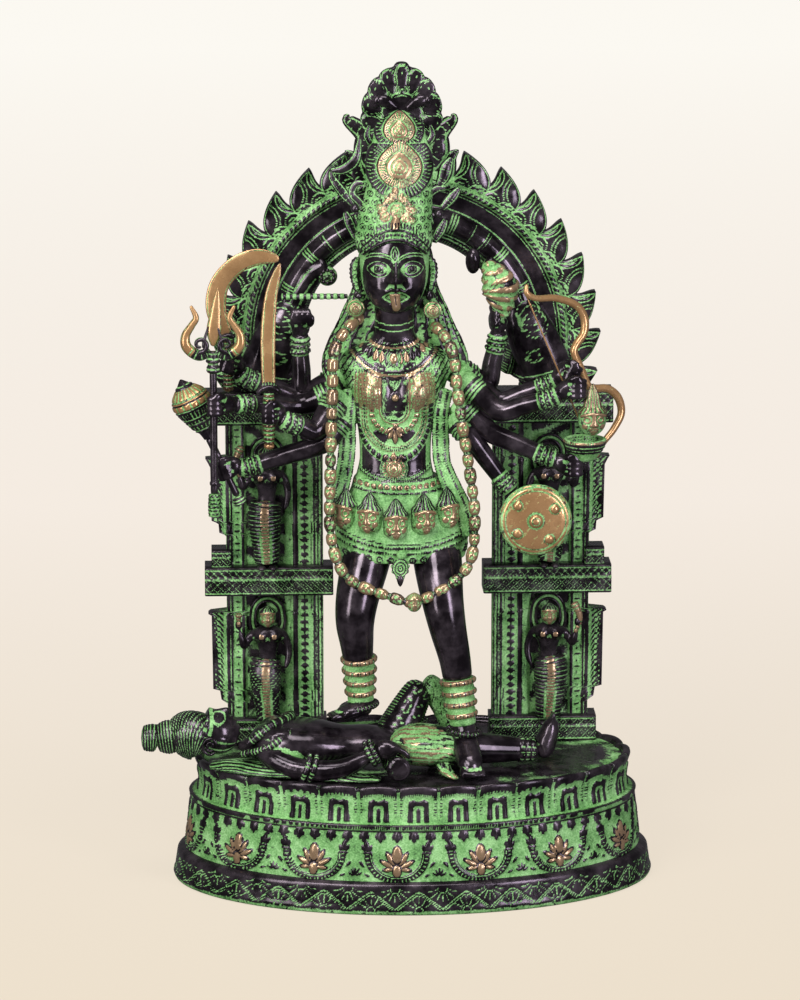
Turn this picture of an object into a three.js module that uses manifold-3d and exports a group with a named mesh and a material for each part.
import * as THREE from 'three';
import { mergeVertices } from 'three/addons/utils/BufferGeometryUtils.js';
import Module from 'manifold-3d';

const wasm = await Module();
wasm.setup();

// Clearance between pieces that touch, in millimetres like every size below
const fitGap = 0.3;

// Plinth: an oval double lotus, drawn as rings round its middle
const footHalfWidth = 283;
const ovalShare = 0.6;
const footEdge = 6;
const footTuck = 5;
const bandHeight = 33;
const bandLean = 5;
const ledgeStep = 9;
const friezeHeight = 60;
const friezeLean = 8;
const friezeTop = bandHeight + 5 + friezeHeight;
const rollHeight = 8;
const rollProud = 3;
const petalHeight = 38;
const petalTuck = 12;
const petalProud = 4;
const petalCut = 4;
const rimHeight = 6;
const rimWidth = 11;
const floorSink = 7;
const petalCount = 28;
const lotusCount = 14;
const lotusProud = 5;
const stepsPerPetal = 2;

// Back frame: pillars, shelves and capitals on both sides of an opening
const frameCentre = -3;
const openingHalf = 100;
const panelWidth = 114;
const panelFront = 66;
const frameBack = 87;
const sillHeight = 30;
const sillFront = 50;
const sillReach = 10;
const lowerTierHeight = 183;
const shelfHeight = 20;
const shelfCapHeight = 13;
const shelfInner = 12;
const shelfReach = 26;
const shelfFront = 44;
const shelfBlockHeight = 20;
const shelfBlockWidth = 24;
const upperTierHeight = 172;
const capitalHeight = 25;
const capitalCapHeight = 12;
const wingReach = 18;
const wingHeight = 92;
const wingRise = 56;
const ribWidth = 7;
const ribProud = 4;

// Arch that stands on the capitals
const archCentreShift = -3;
const archLift = 62;
const archInner = 118;
const ropeWidth = 30;
const plainBandWidth = 20;
const beadBandWidth = 10;
const leafGroundWidth = 8;
const archSpan = 110;
const ropeFront = 50;
const plainBandFront = 65;
const beadBandFront = 59;
const leafLength = 43;
const leavesEachSide = 8;
const firstLeafAngle = 21;
const leafPitch = 11.8;
const leafLean = 2.5;
const crestWidth = 94;
const crestHeight = 62;
const crestRise = 80;
const crestLobes = 7;

// Figures: the heights that their poses are drawn at, and the heights they have
const kaliHeight = 760;
const kaliDrawnHeight = 760;
const shivaLength = 474;
const shivaDrawnLength = 474;
const attendantHeight = 158;
const drawnFloor = 143;

// Attributes, each slotted in a hand
const shaftRadius = 4;
const gripRadius = 5;
const tridentLength = 268;
const tridentHeadWidth = 68;
const tridentProng = 76;
const bladeThickness = 4;
const swordBlade = 146;
const swordWidth = 15;
const scimitarReach = 62;
const scimitarWidth = 23;
const maceLength = 164;
const maceHeadRadius = 22;
const maceHeadLength = 76;
const rodLength = 78;
const rodRadius = 4;
const conchLength = 52;
const conchRadius = 22;
const bowSpan = 248;
const bowRadius = 4;
const bowSwing = 28.5;
const bowPitch = 9;
const socketReach = 30;
const stringRadius = 1;
const shieldRadius = 42;
const shieldDepth = 12;
const bowlRadius = 24;
const bowlDepth = 26;
const headHeight = 62;
const headWidth = 30;

const rad = THREE.MathUtils.degToRad;
const front = new THREE.Vector3(0, -1, 0);
const up = new THREE.Vector3(0, 0, 1);
const floorZ = friezeTop + rollHeight + petalHeight + rimHeight - floorSink;

// Closed geometry with its shared corners merged, as a solid that joins and cuts
function solid(geometry) {
  const bare = new THREE.BufferGeometry();
  bare.setAttribute('position', geometry.getAttribute('position'));
  bare.setIndex(geometry.index);
  const merged = mergeVertices(bare, 1e-3);
  const corners = merged.getAttribute('position').array;
  const faces = [];
  let volume = 0;
  for (let i = 0; i < merged.index.count; i += 3) {
    const face = [merged.index.getX(i), merged.index.getX(i + 1), merged.index.getX(i + 2)];
    if (face[0] === face[1] || face[1] === face[2] || face[2] === face[0]) continue;
    const [a, b, c] = face.map((n) => new THREE.Vector3().fromArray(corners, n * 3));
    volume += a.dot(b.cross(c));
    faces.push(face);
  }
  const outward = volume < 0 ? faces.map((face) => face.reverse()) : faces;
  return new wasm.Manifold(new wasm.Mesh({
    numProp: 3,
    vertProperties: new Float32Array(corners),
    triVerts: new Uint32Array(outward.flat()),
  }));
}

const join = (solids) => solids.reduce((whole, next) => whole.add(next));
const cut = (whole, tools) => tools.reduce((rest, tool) => rest.subtract(tool), whole);

// Every corner of a geometry moved by a rule
function bend(geometry, rule) {
  const corners = geometry.getAttribute('position');
  for (let i = 0; i < corners.count; i += 1) {
    const moved = rule(corners.getX(i), corners.getY(i), corners.getZ(i));
    corners.setXYZ(i, moved.x, moved.y, moved.z);
  }
  return geometry;
}

// Round body along a curve: one half width for each station, depth is front to back over width
function limb(points, widths, { sides = 6, depth = 1, facing = front } = {}) {
  const path = new THREE.CatmullRomCurve3(points);
  const last = widths.length - 1;
  const profile = [new THREE.Vector2(0, 0)];
  widths.forEach((width, row) => profile.push(new THREE.Vector2(width, row / last)));
  profile.push(new THREE.Vector2(0, 1));
  const half = Math.PI / sides;
  const rings = new THREE.LatheGeometry(profile, sides, half);
  return solid(bend(rings, (x, y, z) => {
    const along = path.getTangent(y);
    const across = new THREE.Vector3().crossVectors(along, facing).normalize();
    const outward = new THREE.Vector3().crossVectors(across, along);
    return path.getPoint(y).addScaledVector(across, x).addScaledVector(outward, z * depth);
  }));
}

function ball(centre, halfX, halfY, halfZ, around = 8, high = 6) {
  const sphere = new THREE.SphereGeometry(1, around, high).rotateX(Math.PI / 2);
  sphere.scale(halfX, halfY, halfZ);
  return solid(sphere.translate(centre.x, centre.y, centre.z));
}

// Block between two corners
function block(x1, x2, y1, y2, z1, z2) {
  const box = new THREE.BoxGeometry(Math.abs(x2 - x1), Math.abs(y2 - y1), Math.abs(z2 - z1));
  return solid(box.translate((x1 + x2) / 2, (y1 + y2) / 2, (z1 + z2) / 2));
}

// Upright plate: an outline drawn in X and Z, between a front and a back
function plate(outline, frontY, backY, curveSegments = 4) {
  const shape = Array.isArray(outline) ? new THREE.Shape(outline) : outline;
  const body = new THREE.ExtrudeGeometry(shape, {
    depth: backY - frontY,
    bevelEnabled: false,
    curveSegments,
  });
  return solid(body.rotateX(Math.PI / 2).translate(0, backY, 0));
}

function turned(profile, sides) {
  const points = profile.map(([radius, height]) => new THREE.Vector2(radius, height));
  return new THREE.LatheGeometry(points, sides).rotateX(Math.PI / 2);
}

// Ring of round section about an upright axis, oval by its two radii
function ring(centre, halfX, halfY, thick, around = 16, tilt = 0) {
  const torus = new THREE.TorusGeometry(1, thick / halfX, 4, around);
  torus.scale(halfX, halfY, halfX).rotateX(tilt);
  return solid(torus.translate(centre.x, centre.y, centre.z));
}

function finished(name, body, colour, roughness, metalness) {
  const mesh = body.getMesh();
  const geometry = new THREE.BufferGeometry();
  geometry.setAttribute('position', new THREE.BufferAttribute(mesh.vertProperties, 3));
  geometry.setIndex(new THREE.BufferAttribute(mesh.triVerts, 1));
  const faceted = geometry.toNonIndexed();
  faceted.computeVertexNormals();
  const material = new THREE.MeshStandardMaterial({ color: colour, roughness, metalness });
  const piece = new THREE.Mesh(faceted, material);
  piece.name = name;
  return piece;
}

// Angles that share the oval's rim into equal lengths, from the middle of the front
function evenAngles(count) {
  const fine = 4000;
  const lengths = [0];
  for (let i = 1; i <= fine; i += 1) {
    const angle = ((i - 0.5) / fine) * 2 * Math.PI;
    lengths.push(lengths[i - 1] + Math.hypot(Math.cos(angle), ovalShare * Math.sin(angle)));
  }
  return (step) => {
    const share = THREE.MathUtils.euclideanModulo(step / count, 1) * lengths[fine];
    const index = lengths.findIndex((length) => length >= share);
    return (index / fine) * 2 * Math.PI;
  };
}

// Double lotus plinth: petals part every third step, lotus bosses stand on every second petal joint
function makePlinth() {
  const bandTop = footHalfWidth - bandLean;
  const friezeFoot = bandTop - ledgeStep;
  const friezeHead = friezeFoot - friezeLean;
  const petalFoot = friezeHead - petalTuck + rollProud;
  const petalTop = friezeTop + rollHeight + petalHeight;
  const rim = petalFoot + petalProud;
  const profile = [
    [0, 0],
    [footHalfWidth - footTuck, 0],
    [footHalfWidth, footEdge],
    [bandTop, bandHeight],
    [friezeFoot, bandHeight + 5],
    [friezeFoot - friezeLean / 2, bandHeight + friezeHeight / 2],
    [friezeHead, friezeTop],
    [friezeHead + rollProud, friezeTop + rollHeight / 2],
    [petalFoot, friezeTop + rollHeight],
    [rim, petalTop],
    [rim - rimWidth / 3, petalTop + rimHeight],
    [rim - rimWidth, floorZ],
    [0, floorZ],
  ];
  const petalRow = 9;
  const rimRow = 10;
  const lotusRow = 5;
  const steps = petalCount * stepsPerPetal;
  const stepsPerLotus = steps / lotusCount;
  const angleAt = evenAngles(steps);
  const geometry = new THREE.LatheGeometry(profile.map(([r, z]) => new THREE.Vector2(r, z)), steps);
  const corners = geometry.getAttribute('position');
  const rows = profile.length;
  for (let step = 0; step <= steps; step += 1) {
    const place = step % steps;
    const angle = angleAt(place);
    const joint = place % stepsPerPetal !== 0;
    const lotus = (place + 1) % stepsPerLotus === 0;
    profile.forEach(([radius, height], row) => {
      const dented = joint && (row === petalRow || row === rimRow) ? petalCut : 0;
      const bossed = lotus && row === lotusRow ? lotusProud : 0;
      const sunk = joint && row === rimRow ? petalCut / 2 : 0;
      const reach = radius - dented + bossed;
      const x = reach * Math.sin(angle);
      const y = -ovalShare * reach * Math.cos(angle);
      corners.setXYZ(step * rows + row, x, y, height - sunk);
    });
  }
  return solid(geometry);
}

// Room that the plinth takes from what stands or lies on it: its floor and its rim, with a gap
function makePlinthRoom() {
  const outer = footHalfWidth;
  const inner = footHalfWidth - bandLean - ledgeStep - friezeLean - petalTuck + rollProud + petalProud
    - rimWidth - fitGap * 2;
  const floor = floorZ + fitGap;
  const profile = [[0, -20], [outer, -20], [outer, floor + floorSink], [inner, floor + floorSink],
    [inner, floor], [0, floor]];
  const room = turned(profile, petalCount * 2);
  return solid(room.scale(1, ovalShare, 1));
}

// One side of the frame, on the right for side 1 and on the left for side -1
function makeFrameSide(side) {
  const x = (distance) => frameCentre + side * distance;
  const foot = floorZ + fitGap;
  const outer = openingHalf + panelWidth;
  const shelf = floorZ + lowerTierHeight;
  const upper = shelf + shelfHeight + shelfCapHeight;
  const capital = upper + upperTierHeight;
  const top = capital + capitalHeight + capitalCapHeight;
  const inside = openingHalf - shelfInner;
  const outside = outer + shelfReach;
  const wing = (base, height, peak) => plate([
    new THREE.Vector2(x(outer - 4), base),
    new THREE.Vector2(x(outer + wingReach / 2), base + 4),
    new THREE.Vector2(x(outer + wingReach / 2), base + 14),
    new THREE.Vector2(x(outer + wingReach), base + 22),
    new THREE.Vector2(x(outer + wingReach), base + height - peak),
    new THREE.Vector2(x(outer + wingReach + 6), base + height),
    new THREE.Vector2(x(outer - 4), base + height),
  ], panelFront + ribProud, frameBack - ribProud);
  const pieces = [
    block(x(openingHalf), x(outer), panelFront, frameBack - 2, foot, top - 4),
    block(x(openingHalf - 4), x(outer + sillReach), sillFront, frameBack, foot, foot + sillHeight),
    block(x(inside), x(outside), shelfFront, frameBack + 2, shelf, shelf + shelfHeight),
    block(x(inside + 3), x(outside - 5), shelfFront + 4, frameBack, shelf + 5, upper),
    block(x(outer - 6), x(outer - 6 + shelfBlockWidth), panelFront - 12, frameBack - 4,
      upper - 4, upper + shelfBlockHeight),
    block(x(inside), x(outside), shelfFront + 4, frameBack + 2, capital, capital + capitalHeight),
    block(x(inside + 3), x(outside - 5), shelfFront + 8, frameBack, capital + 5, top),
    wing(floorZ + wingRise - 8, wingHeight + 16, 0.5),
    wing(upper + wingRise - 20, wingHeight, 10),
  ];
  const ribPlaces = [openingHalf + 2, openingHalf + 2 + 2 * ribWidth, outer - 2 - ribWidth];
  ribPlaces.forEach((place) => {
    pieces.push(block(x(place), x(place + ribWidth), panelFront - ribProud, panelFront + 1,
      foot + sillHeight - 2, capital + 2));
  });
  return join(pieces);
}

// Attendant in high relief, drawn as shares of the figure's own height
function makeAttendant(x, z, side, armed) {
  const share = (across, depth, high) => new THREE.Vector3(
    x + side * across * attendantHeight,
    panelFront - depth * attendantHeight,
    z + high * attendantHeight,
  );
  const sizes = (parts) => parts.map((part) => part * attendantHeight);
  const pieces = [
    limb([share(0, 0.1, 0.8), share(0, 0.12, 0.87), share(0, 0.11, 0.93), share(0, 0.1, 1.08)],
      sizes([0.035, 0.065, 0.075, 0.015]), { sides: 5 }),
    limb([share(0, 0.09, 0.82), share(0, 0.1, 0.75), share(0, 0.09, 0.6), share(0.02, 0.1, 0.48),
      share(0.01, 0.1, 0.24), share(0, 0.09, 0.02)],
    sizes([0.06, 0.125, 0.075, 0.125, 0.1, 0.085]), { sides: 5, depth: 0.75 }),
    limb([share(-0.11, 0.09, 0.78), share(-0.17, 0.08, 0.62), share(-0.14, 0.12, 0.46)],
      sizes([0.036, 0.032, 0.028]), { sides: 3 }),
    limb([share(0.1, 0.09, 0.77), share(0.19, 0.09, 0.66), share(0.23, 0.13, 0.82)],
      sizes([0.036, 0.032, 0.03]), { sides: 3 }),
  ];
  if (armed) {
    pieces.push(limb([share(0.23, 0.13, 0.76), share(0.24, 0.12, 0.98)], sizes([0.02, 0.048]),
      { sides: 3 }));
  }
  return join(pieces);
}

// Beast at an arch foot: a rounded head on the capital and a trunk that curls in to a rosette
function makeBeast(centreX, centreZ, side) {
  const at = (across, depth, rise) => new THREE.Vector3(
    centreX + side * across * archInner,
    depth,
    centreZ + rise * archInner,
  );
  const size = (part) => part * archInner;
  return join([
    limb([at(1.42, 66, -0.56), at(1.34, 60, -0.25), at(1.2, 56, 0.12), at(1.08, 60, 0.42)],
      [size(0.3), size(0.26), size(0.24), size(0.1)], { sides: 6, depth: 0.8 }),
    limb([at(1.16, 66, 0.2), at(1.04, 62, 0.5), at(0.88, 60, 0.7), at(0.7, 58, 0.78)],
      [size(0.14), size(0.12), size(0.11), size(0.09)], { sides: 5 }),
    ball(at(1.12, 40, 0.06), size(0.06), size(0.06), size(0.06), 6, 4),
  ]);
}

function makeArch(centreX, centreZ) {
  const ropeEnd = archInner + 12 + ropeWidth;
  const bandEnd = ropeEnd + plainBandWidth;
  const beadEnd = bandEnd + beadBandWidth;
  const section = new THREE.Shape([
    [archInner, frameBack - 4],
    [archInner, panelFront + 2],
    [archInner + 6, panelFront - 6],
    [archInner + 12, panelFront + 2],
    [archInner + 20, ropeFront],
    [ropeEnd - 6, ropeFront + 2],
    [ropeEnd, plainBandFront],
    [bandEnd, plainBandFront],
    [bandEnd + 2, beadBandFront],
    [beadEnd, beadBandFront + 2],
    [beadEnd + leafGroundWidth, panelFront + 4],
    [beadEnd + leafGroundWidth, frameBack - 6],
  ].map(([reach, depth]) => new THREE.Vector2(reach - archInner, depth)));
  const steps = 18;
  const strip = new THREE.ExtrudeGeometry(section, { depth: 1, steps, bevelEnabled: false });
  return solid(bend(strip, (x, y, z) => {
    const angle = rad(90 + archSpan * (1 - 2 * z));
    const reach = archInner + x;
    return new THREE.Vector3(
      centreX + reach * Math.cos(angle),
      y,
      centreZ + reach * Math.sin(angle),
    );
  }));
}

function makeLeaves(centreX, centreZ) {
  const base = archInner + 12 + ropeWidth + plainBandWidth + beadBandWidth - 3;
  const outline = [[0, 1], [0, 0], [0.5, 0], [1, 1]].map(([x, y]) => new THREE.Vector2(x, y));
  const stepsPerLeaf = 2;
  const reaches = [0.4, 1];
  const proud = [0, 9];
  const strips = [-1, 1].map((side) => {
    const steps = leavesEachSide * stepsPerLeaf;
    const strip = new THREE.ExtrudeGeometry(new THREE.Shape(outline), {
      depth: steps,
      steps,
      bevelEnabled: false,
    });
    return solid(bend(strip, (x, y, z) => {
      const step = Math.round(z);
      const part = step % stepsPerLeaf;
      const angle = rad(90 + side * (firstLeafAngle + leafPitch * (step / stepsPerLeaf - 0.5)));
      const lean = part === 1 && x === 1 ? rad(-side * leafLean) : 0;
      const reach = base + x * leafLength * reaches[part];
      const forward = x === 0.5 ? proud[part] : 0;
      return new THREE.Vector3(
        centreX + reach * Math.cos(angle + lean),
        y === 1 ? frameBack - 8 : panelFront + 6 - forward,
        centreZ + reach * Math.sin(angle + lean),
      );
    }));
  });
  return join(strips);
}

// Crest over the arch: a lobed fan on a neck, with a curl at each side
function makeCrest(centreX, centreZ) {
  const archTop = archInner + 12 + ropeWidth + plainBandWidth + beadBandWidth;
  const neck = centreZ + archTop - 10;
  const seat = neck + crestRise;
  const middle = centreX - 4;
  const outline = [new THREE.Vector2(middle - crestWidth * 0.33, neck)];
  outline.push(new THREE.Vector2(middle - crestWidth * 0.3, seat - 12));
  const steps = crestLobes * 2;
  for (let i = 0; i <= steps; i += 1) {
    const angle = Math.PI * (1 - i / steps);
    const reach = i % 2 === 0 ? 0.86 : 1;
    outline.push(new THREE.Vector2(
      middle + reach * Math.cos(angle) * crestWidth / 2,
      seat + reach * Math.sin(angle) * crestHeight,
    ));
  }
  outline.push(new THREE.Vector2(middle + crestWidth * 0.3, seat - 12));
  outline.push(new THREE.Vector2(middle + crestWidth * 0.33, neck));
  const curls = [-1, 1].map((side) => limb(
    [
      new THREE.Vector3(middle + side * crestWidth * 0.3, panelFront + 10, neck + 8),
      new THREE.Vector3(middle + side * crestWidth * 0.5, panelFront + 6, neck + crestRise * 0.45),
      new THREE.Vector3(middle + side * crestWidth * 0.62, panelFront + 2, seat - 6),
    ],
    [14, 12, 1.5],
    { sides: 4, depth: 0.6 },
  ));
  return join([
    plate(outline, panelFront, frameBack - 6),
    ball(new THREE.Vector3(middle, panelFront - 2, seat + crestHeight * 0.3),
      crestWidth * 0.2, 10, crestHeight * 0.35, 8, 5),
    ...curls,
  ]);
}

function makeBackFrame() {
  const shelfTop = floorZ + lowerTierHeight + shelfHeight + shelfCapHeight;
  const archFoot = shelfTop + upperTierHeight + capitalHeight + capitalCapHeight;
  const archX = frameCentre + archCentreShift;
  const archZ = archFoot + archLift;
  const niche = openingHalf + panelWidth / 2 + 8;
  const pieces = [makeArch(archX, archZ), makeLeaves(archX, archZ), makeCrest(archX, archZ)];
  [-1, 1].forEach((side) => {
    pieces.push(makeFrameSide(side));
    pieces.push(makeBeast(archX, archZ, side));
    const x = frameCentre + side * niche;
    pieces.push(makeAttendant(x, floorZ + sillHeight - 8, side, true));
    pieces.push(makeAttendant(x - side * 6, shelfTop - 3, side, false));
  });
  return join(pieces);
}

// A place on the lying figure: along from the plinth's middle, forward, and up from the plinth floor
const shivaShare = shivaLength / shivaDrawnLength;
const shivaAt = (x, y, z) => new THREE.Vector3(x * shivaShare, y, floorZ + fitGap + z);
const chestTop = 60;

function makeShiva() {
  const legSides = { sides: 5, facing: up };
  const pieces = [
    // topknot, hair and head, looking up
    limb([shivaAt(-318, -45, 28), shivaAt(-308, -45, 28), shivaAt(-296, -45, 28),
      shivaAt(-286, -45, 28), shivaAt(-276, -45, 28)], [11, 15, 13, 18, 15], { sides: 6, facing: up }),
    limb([shivaAt(-284, -45, 30), shivaAt(-264, -45, 33), shivaAt(-244, -45, 32),
      shivaAt(-222, -45, 28), shivaAt(-204, -45, 27)], [12, 31, 33, 27, 12], { sides: 7, facing: up }),
    ball(shivaAt(-228, -45, 40), 26, 25, 25, 6, 4),
    limb([shivaAt(-206, -45, 62), shivaAt(-214, -45, 68), shivaAt(-224, -45, 62)], [3, 5, 2],
      { sides: 5, facing: up }),
    // chest, belly and hips
    limb([shivaAt(-206, -45, 30), shivaAt(-188, -45, 27), shivaAt(-160, -45, 30),
      shivaAt(-120, -45, 32), shivaAt(-75, -42, 28), shivaAt(-30, -38, 26), shivaAt(15, -34, 24)],
    [16, 26, 44, 42, 35, 38, 30], { sides: 7, depth: 0.64, facing: up }),
    // mantle and hair spread under the shoulders
    limb([shivaAt(-238, -62, 8), shivaAt(-205, -66, 6), shivaAt(-170, -70, 5), shivaAt(-140, -66, 4)],
      [16, 24, 26, 12], { sides: 6, depth: 0.3, facing: up }),
    // tiger skin over the hips
    limb([shivaAt(-22, -48, 26), shivaAt(15, -52, 26), shivaAt(48, -48, 20), shivaAt(62, -40, 12)],
      [26, 40, 34, 20], { sides: 6, depth: 0.55, facing: up }),
    // near arm, bent back to the hand with the drum
    limb([shivaAt(-182, -76, 28), shivaAt(-150, -92, 18), shivaAt(-116, -104, 12),
      shivaAt(-86, -108, 16), shivaAt(-58, -106, 28), shivaAt(-46, -106, 36)],
    [13, 13, 12, 12, 10, 9], legSides),
    limb([shivaAt(-50, -106, 37), shivaAt(-30, -106, 36), shivaAt(-16, -108, 30)],
      [9, 13, 7], { sides: 6, depth: 0.8 }),
    // far arm along the side
    limb([shivaAt(-180, -8, 24), shivaAt(-140, 8, 14), shivaAt(-95, 14, 11), shivaAt(-58, 4, 10)],
      [12, 12, 10, 6], { sides: 5 }),
    // far leg, bent up at the knee
    limb([shivaAt(-22, -18, 26), shivaAt(-6, -6, 60), shivaAt(14, 2, 88), shivaAt(28, 4, 76),
      shivaAt(42, 4, 44), shivaAt(52, 4, 12)], [24, 21, 17, 15, 13, 11], { sides: 6 }),
    limb([shivaAt(46, 8, 8), shivaAt(58, -8, 8), shivaAt(68, -26, 6)], [8, 11, 5],
      { sides: 6, depth: 0.6, facing: up }),
    // near leg, straight, with the foot up
    limb([shivaAt(10, -52, 24), shivaAt(50, -52, 22), shivaAt(92, -46, 19), shivaAt(130, -40, 15),
      shivaAt(148, -38, 14)], [24, 21, 16, 13, 12], legSides),
    limb([shivaAt(146, -36, 6), shivaAt(152, -36, 26), shivaAt(158, -36, 46), shivaAt(162, -36, 58)],
      [12, 13, 11, 5], { sides: 6, depth: 1.2 }),
    // bead string over the chest
    limb([shivaAt(-196, -70, 30), shivaAt(-168, -62, 60), shivaAt(-140, -40, 62), shivaAt(-150, -16, 52)],
      [4, 5, 5, 4], { sides: 5, facing: up }),
  ];
  const drum = turned([[0, -18], [13, -18], [8, 0], [13, 18], [0, 18]], 8);
  drum.rotateX(Math.PI / 2).rotateZ(rad(8));
  const drumAt = shivaAt(-24, -108, 19);
  pieces.push(solid(drum.translate(drumAt.x, drumAt.y, drumAt.z)));
  return join(pieces);
}

// A place on the standing figure, drawn from the plinth floor at its drawn height
const kaliShare = kaliHeight / kaliDrawnHeight;
const kaliAt = (x, y, z) => new THREE.Vector3(
  x * kaliShare,
  y * kaliShare,
  floorZ + fitGap + (z - drawnFloor) * kaliShare,
);
const kaliSize = (size) => size * kaliShare;

// Ten arms: shoulder, elbow and wrist, and the hand with the attribute it holds
const arms = {
  scimitar: { path: [[-70, 12, 600], [-130, 16, 570], [-192, 6, 596]], hand: [-213, 0, 616] },
  rod: { path: [[-76, 18, 596], [-127, 18, 572], [-130, 15, 632]], hand: [-129, 8, 668] },
  trident: { path: [[-84, 0, 582], [-131, -5, 566], [-190, -32, 573]], hand: [-230, -54, 577] },
  sword: { path: [[-82, -12, 582], [-114, -35, 542], [-146, -50, 556]], hand: [-167, -55, 568] },
  mace: { path: [[-74, -10, 560], [-106, -24, 524], [-190, -30, 499]], hand: [-219, -30, 497] },
  conch: { path: [[46, 16, 604], [87, 18, 584], [98, 15, 636]], hand: [101, 10, 664] },
  bow: { path: [[49, 4, 600], [101, 0, 567], [155, -10, 588]], hand: [183, -15, 603] },
  head: { path: [[53, -12, 596], [99, -32, 562], [152, -42, 578]], hand: [187, -45, 592] },
  bowl: { path: [[48, -10, 570], [90, -25, 535], [150, -38, 511]], hand: [184, -42, 500] },
  shield: { path: [[46, -12, 556], [66, -26, 530], [104, -32, 478]], hand: [126, -36, 450] },
};
const handOf = (name) => kaliAt(...arms[name].hand);

function makeArm({ path, hand }) {
  const [shoulder, elbow, wrist] = path.map((place) => kaliAt(...place));
  const palm = kaliAt(...hand);
  const between = (a, b, share) => a.clone().lerp(b, share);
  const points = [shoulder, elbow, between(elbow, wrist, 0.5), between(elbow, wrist, 0.8),
    between(elbow, wrist, 0.9), wrist, between(wrist, palm, 0.4)];
  const widths = [17, 14, 11.5, 9.5, 12, 12, 7.5].map(kaliSize);
  return join([
    limb(points, widths, { sides: 5 }),
    limb([wrist, between(wrist, palm, 0.8), between(wrist, palm, 1.45)], [8, 14, 8].map(kaliSize),
      { sides: 5 }),
  ]);
}

function makeLeg(points, anklets) {
  const [above, below] = anklets.map((place) => kaliAt(...place));
  const stations = points.map((place) => kaliAt(...place));
  const widths = [30, 26, 22, 19];
  const bands = 7;
  for (let band = 0; band < bands; band += 1) {
    stations.push(above.clone().lerp(below, band / (bands - 1)));
    widths.push(band % 2 === 0 ? 20.5 : 16.5);
  }
  return limb(stations, widths.map(kaliSize), { sides: 8 });
}

function makeCrown() {
  const leafTip = (side, places, widths) => limb(
    places.map(([x, y, z]) => kaliAt(-16 + side * x, y, z)),
    widths.map(kaliSize),
    { sides: 3, depth: 0.6 },
  );
  const pieces = [
    limb([kaliAt(-17, -8, 744), kaliAt(-16, -10, 762), kaliAt(-15, -10, 774)],
      [43, 46, 42].map(kaliSize), { sides: 8 }),
    limb([kaliAt(-16, -2, 768), kaliAt(-16, 0, 800), kaliAt(-15, 4, 845), kaliAt(-15, 8, 880),
      kaliAt(-15, 8, 901)], [42, 40, 37, 20, 4].map(kaliSize), { sides: 6, depth: 0.55 }),
    ball(kaliAt(-16, -36, 798), 19, 10, 24, 6, 3),
    ball(kaliAt(-15, -22, 836), 21, 11, 24, 6, 3),
    ball(kaliAt(-15, -10, 880), 15, 9, 18, 6, 3),
  ];
  [-1, 1].forEach((side) => {
    pieces.push(leafTip(side, [[34, -8, 772], [46, -8, 790], [54, -8, 806], [50, -8, 824]],
      [12, 11, 8, 1.5]));
    pieces.push(leafTip(side, [[30, -4, 806], [54, -6, 822], [66, -6, 846], [54, -6, 866]],
      [10, 9, 6, 1.5]));
    pieces.push(leafTip(side, [[36, -6, 752], [50, -6, 766], [58, -6, 784]], [11, 10, 1.5]));
    pieces.push(leafTip(side, [[20, 2, 850], [34, 2, 866], [38, 2, 884]], [10, 9, 1.5]));
  });
  return join(pieces);
}

function makeHead() {
  const eyes = [-1, 1].map((side) => ball(kaliAt(-17 + side * 18, -49, 731), 11, 5, 6, 5, 3));
  const ears = [-1, 1].map((side) => ball(kaliAt(-17 + side * 38, -6, 678), 10, 10, 10, 5, 3));
  return join([
    limb([kaliAt(-17, -34, 672), kaliAt(-17, -26, 684), kaliAt(-17, -18, 706), kaliAt(-17, -16, 734),
      kaliAt(-17, -14, 762)], [14, 26, 35, 38, 34].map(kaliSize), { sides: 8, depth: 1.02 }),
    limb([kaliAt(-17, -52, 738), kaliAt(-17, -58, 722), kaliAt(-17, -50, 712)],
      [3, 6, 8].map(kaliSize), { sides: 4 }),
    limb([kaliAt(-17, -46, 704), kaliAt(-17, -54, 698), kaliAt(-17, -54, 684)],
      [9, 7, 5].map(kaliSize), { sides: 5, depth: 0.6 }),
    ...eyes,
    ...ears,
    // hair that falls behind the neck to the shoulders
    limb([kaliAt(-17, 6, 760), kaliAt(-17, 8, 720), kaliAt(-17, 10, 680), kaliAt(-17, 12, 640),
      kaliAt(-17, 12, 590)], [38, 45, 54, 66, 72].map(kaliSize), { sides: 6, depth: 0.34 }),
  ]);
}

// Garland of skulls: a string of beads that hangs from the shoulders over the skirt to the knees
function makeGarland() {
  const side = [[-60, -4, 668], [-76, -30, 660], [-92, -38, 634], [-94, -44, 590], [-96, -48, 540],
    [-97, -50, 490], [-98, -54, 440], [-92, -60, 400], [-74, -66, 372], [-30, -72, 354],
    [0, -72, 348], [42, -66, 367], [64, -60, 394], [69, -54, 440], [64, -50, 490],
    [56, -47, 540], [49, -44, 590], [46, -40, 622], [38, -34, 646], [22, -6, 660]];
  const beads = 31;
  const widths = [];
  for (let bead = 0; bead < beads; bead += 1) widths.push(kaliSize(bead % 2 === 0 ? 4.5 : 7));
  return limb(side.map((place) => kaliAt(...place)), widths, { sides: 4 });
}

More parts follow.
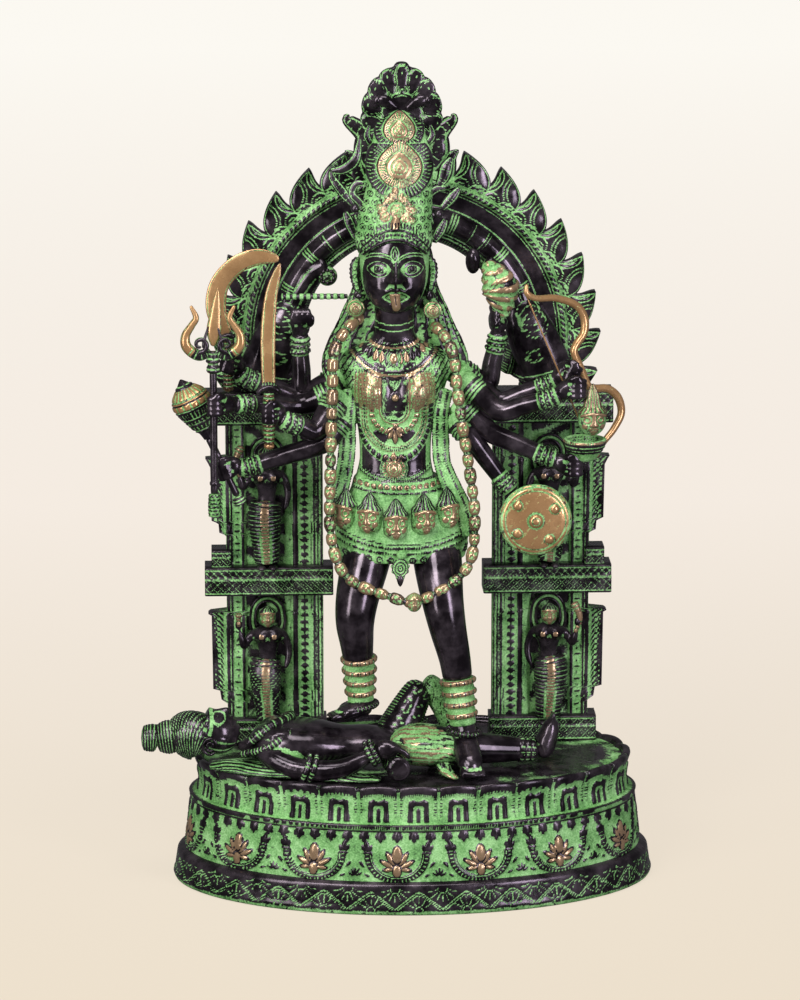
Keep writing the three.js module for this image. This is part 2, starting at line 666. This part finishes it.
// Skirt: a fluted bell with a scalloped swag, under a belt with five small heads
function makeSkirt() {
  const flutes = 16;
  const rows = [[0, 484], [44, 484], [62, 462], [80, 430], [84, 402], [80, 376], [74, 356], [0, 366]];
  const bell = new THREE.LatheGeometry(rows.map(([r, z]) => new THREE.Vector2(r, z)), flutes);
  const hemRow = 5;
  const corners = bell.getAttribute('position');
  for (let step = 0; step <= flutes; step += 1) {
    const angle = (step / flutes) * 2 * Math.PI;
    rows.forEach(([radius, height], row) => {
      const flute = step % 2 === 0 && row >= 3 && row < rows.length - 1 ? 4 : 0;
      const swag = row >= hemRow && row < rows.length - 1 ? 8 * Math.cos(angle) ** 2 - 8 : 0;
      const place = kaliAt(
        -8 + (radius - flute) * Math.sin(angle),
        -10 - 0.58 * (radius - flute) * Math.cos(angle),
        height - swag - (row >= hemRow && row < rows.length - 1 ? 8 : 0),
      );
      corners.setXYZ(step * rows.length + row, place.x, place.y, place.z);
    });
  }
  const pieces = [solid(bell)];
  const heads = 5;
  for (let k = 0; k < heads; k += 1) {
    const turn = rad(-52 + 26 * k);
    const place = kaliAt(-13 + 76 * Math.sin(turn), -14 - 40 * Math.cos(turn), 444 - 8 * Math.cos(turn));
    pieces.push(ball(place, kaliSize(12), kaliSize(10), kaliSize(15), 5, 4));
  }
  pieces.push(ring(kaliAt(-18, -12, 480), kaliSize(46), kaliSize(35), kaliSize(6), 10));
  pieces.push(ball(kaliAt(-4, -57, 378), kaliSize(8), kaliSize(8), kaliSize(15), 5, 4));
  return join(pieces);
}

function makeKaliBody() {
  const torso = limb(
    [
      kaliAt(-6, -10, 392), kaliAt(-8, -10, 430), kaliAt(-18, -11, 478), kaliAt(-21, -12, 508),
      kaliAt(-20, -11, 545), kaliAt(-18, -10, 586), kaliAt(-17, -6, 616), kaliAt(-18, -6, 636),
      kaliAt(-18, -10, 654), kaliAt(-17, -16, 680),
    ],
    [56, 58, 44, 39, 45, 55, 62, 34, 23, 22].map(kaliSize),
    { sides: 8, depth: 0.66 },
  );
  const breasts = [-1, 1].map((side) => ball(kaliAt(-19 + side * 33, -34, 590),
    kaliSize(22), kaliSize(21), kaliSize(22), 6, 4));
  const collar = ring(kaliAt(-18, -14, 634), kaliSize(44), kaliSize(30), kaliSize(8), 10, rad(14));
  const necklace = limb(
    [kaliAt(-62, -18, 600), kaliAt(-52, -50, 566), kaliAt(-19, -56, 534), kaliAt(14, -50, 566),
      kaliAt(26, -18, 600)],
    [4, 5, 7, 5, 4].map(kaliSize),
    { sides: 4 },
  );
  const pendants = [
    ball(kaliAt(-18, -46, 612), kaliSize(8), kaliSize(7), kaliSize(11), 5, 3),
    ball(kaliAt(-20, -42, 498), kaliSize(13), kaliSize(7), kaliSize(13), 7, 3),
  ];
  const sashes = [
    limb([kaliAt(-74, -20, 590), kaliAt(-78, -16, 540), kaliAt(-76, -16, 500), kaliAt(-66, -30, 474)],
      [8, 9, 9, 7].map(kaliSize), { sides: 4, depth: 0.5 }),
    limb([kaliAt(38, -20, 590), kaliAt(36, -14, 540), kaliAt(38, -14, 500), kaliAt(52, -28, 460),
      kaliAt(64, -30, 412)], [8, 9, 9, 9, 12].map(kaliSize), { sides: 4, depth: 0.5 }),
  ];
  return join([torso, ...breasts, collar, necklace, ...pendants, ...sashes]);
}

// Feet: one on the lying figure's chest, one on the plinth in front of the lying figure
function makeFeet(room) {
  const flat = { sides: 7, depth: 0.62, facing: up };
  const steep = { sides: 7, depth: 0.72, facing: new THREE.Vector3(1, 0, 0) };
  const wide = (widths) => widths.map((width) => kaliSize(width) + room);
  const places = (points) => points.map((place) => kaliAt(...place));
  return [
    limb(places([[-62, -34, 228], [-61, -37, 208]]), wide([16, 17]), { sides: 6 }),
    limb(places([[-52, -37, 212], [-66, -44, 213], [-84, -52, 210], [-102, -58, 208]]),
      wide([14, 17, 18, 10]), flat),
    limb(places([[55, -60, 204], [57, -66, 184], [61, -92, 163], [66, -124, 150]]),
      wide([16, 16, 17, 13]), steep),
  ];
}

function makeKali(sockets) {
  const legs = [
    makeLeg([[-46, -6, 420], [-58, -28, 372], [-68, -46, 330], [-67, -44, 292]],
      [[-64, -38, 271], [-62, -34, 222]]),
    makeLeg([[24, -6, 420], [28, -34, 376], [32, -56, 333], [44, -56, 284]],
      [[51, -56, 244], [56, -60, 196]]),
  ];
  const body = join([
    makeKaliBody(),
    makeHead(),
    makeCrown(),
    makeSkirt(),
    makeGarland(),
    ...legs,
    ...makeFeet(0),
    ...Object.values(arms).map(makeArm),
  ]);
  const ground = block(-400, 400, -400, 300, floorZ - 100, floorZ + fitGap);
  return cut(body, [...sockets, ground]);
}

// Round shaft along an attribute's own upright axis
function shaft(radius, low, high, sides = 8) {
  return solid(turned([[0, low], [radius, low], [radius, high], [0, high]], sides));
}

function makeTrident() {
  const foot = -132;
  const head = tridentLength - tridentProng + foot;
  const half = tridentHeadWidth / 2;
  const prong = (side) => limb(
    [
      new THREE.Vector3(0, 0, head + 4),
      new THREE.Vector3(side * half * 0.5, 0, head - 3),
      new THREE.Vector3(side * half * 0.94, 0, head + 12),
      new THREE.Vector3(side * half * 0.86, 0, head + 28),
      new THREE.Vector3(side * half * 0.62, 0, head + 40),
      new THREE.Vector3(side * half * 0.72, 0, head + 56),
    ],
    [4, 4.5, 5, 4.5, 4, 1.2],
    { sides: 4 },
  );
  const scroll = (side) => ball(new THREE.Vector3(side * half * 0.42, 0, head + 6), 7, 4, 7, 5, 3);
  return join([
    solid(turned([
      [0, foot], [7.5, foot + 2], [7.5, foot + 26], [shaftRadius, foot + 30], [shaftRadius, head - 20],
      [7, head - 18], [5, head - 10], [8, head - 2], [0, head + 2],
    ], 6)),
    limb([new THREE.Vector3(0, 0, head), new THREE.Vector3(0, 0, head + 14),
      new THREE.Vector3(0, 0, head + tridentProng)], [6, 11, 0.6], { sides: 4, depth: 0.45 }),
    prong(-1),
    prong(1),
    scroll(-1),
    scroll(1),
  ]);
}

// Curved blade between an outer and an inner edge, each a curve through points in X and Z
function blade(outer, inner) {
  const shape = new THREE.Shape();
  shape.moveTo(...outer[0]);
  shape.splineThru(outer.slice(1).map(([x, z]) => new THREE.Vector2(x, z)));
  shape.splineThru(inner.map(([x, z]) => new THREE.Vector2(x, z)));
  shape.closePath();
  return plate(shape, -bladeThickness / 2, bladeThickness / 2, 3);
}

function makeSword() {
  const half = swordWidth / 2;
  const guard = 27;
  const tip = guard + swordBlade;
  return join([
    solid(turned([
      [0, -44], [7, -40], [7, -36], [gripRadius, -32], [gripRadius, guard - 4], [11, guard - 1],
      [11, guard + 3], [0, guard + 5],
    ], 8)),
    blade(
      [[-half, guard], [-half - 1, guard + swordBlade * 0.4], [-half + 5, guard + swordBlade * 0.78],
        [14, tip]],
      [[14, guard + swordBlade * 0.75], [half + 1, guard + swordBlade * 0.4], [half, guard]],
    ),
  ]);
}

function makeScimitar() {
  const reach = scimitarReach;
  const width = scimitarWidth;
  return join([
    solid(turned([
      [0, -36], [7, -33], [7, -28], [gripRadius, -24], [gripRadius, 26], [9, 28], [9, 32], [0, 34],
    ], 8)),
    blade(
      [[-10, 28], [-26, reach * 1.08], [-18, reach * 1.58], [6, reach * 1.95], [32, reach * 2.11],
        [62, reach * 1.94]],
      [[26, reach * 2.11 - width], [6, reach * 1.46], [width - 26, reach], [6, 30]],
    ),
  ]);
}

function makeMace(room) {
  const foot = -48;
  const top = maceLength + foot;
  const neck = top - maceHeadLength;
  const r = maceHeadRadius;
  return solid(turned([
    [0, foot], [7, foot + 1], [7, foot + 8], [shaftRadius, foot + 14], [shaftRadius, neck - 8],
    [6.5, neck], [r * 0.45, neck + maceHeadLength * 0.18], [r * 0.75, neck + maceHeadLength * 0.37],
    [r, neck + maceHeadLength * 0.53], [r, neck + maceHeadLength * 0.63],
    [r * 0.58, neck + maceHeadLength * 0.81], [0, top],
  ].map(([radius, height]) => [radius === 0 ? 0 : radius + room, height]), 10));
}

function makeRod() {
  const profile = [[0, -rodLength / 2]];
  const ribs = 7;
  for (let rib = 0; rib <= ribs * 2; rib += 1) {
    const height = -rodLength / 2 + (rib / (ribs * 2)) * rodLength;
    profile.push([rib % 2 === 0 ? rodRadius - 0.8 : rodRadius, height]);
  }
  profile.push([0, rodLength / 2]);
  return solid(turned(profile, 5));
}

function makeConch(room) {
  const wide = (widths) => widths.map((width) => width + room);
  return limb(
    [new THREE.Vector3(4, 0, -14), new THREE.Vector3(2, 0, 4), new THREE.Vector3(0, 0, conchLength * 0.4),
      new THREE.Vector3(-8, 0, conchLength * 0.7), new THREE.Vector3(-16, 0, conchLength)],
    wide([4, conchRadius * 0.6, conchRadius, conchRadius * 0.66, 4]),
    { sides: 8, depth: 0.8 },
  );
}

// Bow: two deeply curved limbs on the grip. It is swung and pitched so that the straight string passes
// in front of its own hand, and behind the hand, head and bowl below
function makeBow(room) {
  const half = bowSpan / 2;
  const swing = rad(bowSwing);
  const along = (share, out) => new THREE.Vector3(
    out * Math.cos(swing),
    out * Math.sin(swing) - share * half * Math.tan(rad(bowPitch)),
    share * half,
  );
  const near = [[0.17, 0], [0.23, 6], [0.3, 22], [0.43, 30], [0.58, 26]];
  const upper = [...near, [0.73, 6], [0.82, -17], [0.91, -26], [1, -21]]
    .map(([share, out]) => along(share, out));
  const lower = [...near, [0.68, 9], [0.74, -9], [0.79, -21], [0.85, -27]]
    .map(([share, out]) => along(-share, out));
  const thick = bowRadius + room;
  const widths = [1.1, 1.1, 1.15, 1.2, 1.1, 1, 0.9, 0.9].map((share) => share * thick);
  return join([
    limb([...lower.reverse(), along(0, 0), ...upper],
      [2 + room, ...[...widths].reverse(), thick + 1, ...widths, 2 + room], { sides: 5 }),
    limb([along(0.9, -28), along(-0.84, -28)], [stringRadius + room, stringRadius + room], { sides: 4 }),
  ]);
}

function makeShield(room) {
  const r = shieldRadius;
  const dish = turned([
    [0, -2 - room], [r * 0.8, 1 - room], [r + room, 4], [r * 0.86, 9], [r * 0.3, shieldDepth - 1],
    [r * 0.22, shieldDepth + 4], [0, shieldDepth + 5],
  ], 14).rotateX(Math.PI / 2);
  const bosses = [45, 135, 225, 315].map((turn) => ball(new THREE.Vector3(
    r * 0.56 * Math.cos(rad(turn)),
    -shieldDepth + 1,
    r * 0.56 * Math.sin(rad(turn)),
  ), 4.5, 4.5, 4.5, 4, 3));
  return join([solid(dish), ...bosses]);
}

function makeSkullBowl(room) {
  const r = bowlRadius;
  const wall = 3;
  return solid(turned([
    [0, -room], [10 + room, -room], [r * 0.8 + room, bowlDepth * 0.45], [r + room, bowlDepth * 0.9],
    [r + room, bowlDepth], [r - wall, bowlDepth], [r * 0.72, bowlDepth * 0.5], [6, 6], [0, 6],
  ], 12));
}

// Severed head hung by its hair: it is drawn down from the knot in the hand
function makeSeveredHead(room) {
  const h = headHeight;
  const w = headWidth / 2;
  return join([
    limb(
      [new THREE.Vector3(0, 0, -h), new THREE.Vector3(0, -1, -h * 0.85), new THREE.Vector3(0, -1, -h * 0.6),
        new THREE.Vector3(0, 0, -h * 0.36), new THREE.Vector3(0, 0, -h * 0.14), new THREE.Vector3(0, 0, 0)],
      [5, w * 0.85, w * 1.05, w, w * 0.72, w * 0.5].map((width) => width + room),
      { sides: 8 },
    ),
    limb([new THREE.Vector3(0, -w, -h * 0.5), new THREE.Vector3(0, -w - 4, -h * 0.66)], [2, 3.4],
      { sides: 4 }),
  ]);
}

// Attributes: each with the turn that it leans by, its place from the palm, and the room it needs
const attributes = {
  trident: { body: makeTrident(), lean: 0, from: [0, 0, 0],
    socket: shaft(shaftRadius + fitGap, -socketReach, socketReach) },
  scimitar: { body: makeScimitar(), lean: 0, from: [0, 0, 0], socket: shaft(gripRadius + fitGap, -23, 25) },
  sword: { body: makeSword(), lean: 0, from: [0, 0, 0], socket: shaft(gripRadius + fitGap, -31, 22) },
  mace: { body: makeMace(0), lean: -25, from: [0, 0, 0], socket: makeMace(fitGap) },
  rod: { body: makeRod(), lean: 90, from: [16, 0, 22], socket: shaft(rodRadius + fitGap, -36, 36) },
  conch: { body: makeConch(0), lean: 0, from: [0, -3, 14], socket: makeConch(fitGap) },
  bow: { body: makeBow(0), lean: -23, from: [10, 0, 4], socket: makeBow(fitGap) },
  head: { body: makeSeveredHead(0), lean: 0, from: [17, 0, 5], socket: makeSeveredHead(fitGap) },
  bowl: { body: makeSkullBowl(0), lean: 0, from: [12, 0, 5], socket: makeSkullBowl(fitGap) },
  shield: { body: makeShield(0), lean: 0, from: [13, -12, -12], socket: makeShield(fitGap) },
};
const nodeNames = { head: 'severed_head', bowl: 'skull_bowl' };

const brass = 0xc9954f;
const patina = 0x2f7a3a;
const lacquer = 0x1c1620;
const group = new THREE.Group();
const sockets = [];
Object.entries(attributes).forEach(([hand, { body, lean, from, socket }]) => {
  const piece = finished(nodeNames[hand] ?? hand, body, brass, 0.35, 0.8);
  piece.position.copy(handOf(hand)).add(new THREE.Vector3(...from).multiplyScalar(kaliShare));
  piece.rotation.y = rad(lean);
  piece.updateMatrixWorld();
  group.add(piece);
  sockets.push(socket.transform(piece.matrixWorld.elements));
});

const plinthBody = makePlinth();
const rim = makePlinthRoom();
group.add(finished('plinth', plinthBody, patina, 0.5, 0.3));
group.add(finished('kali', makeKali(sockets), lacquer, 0.25, 0.5));
group.add(finished('shiva', cut(makeShiva(), [rim, ...makeFeet(fitGap * 1.5)]), lacquer, 0.25, 0.5));
group.add(finished('back_frame', cut(makeBackFrame(), [rim]), patina, 0.45, 0.4));

export default group;
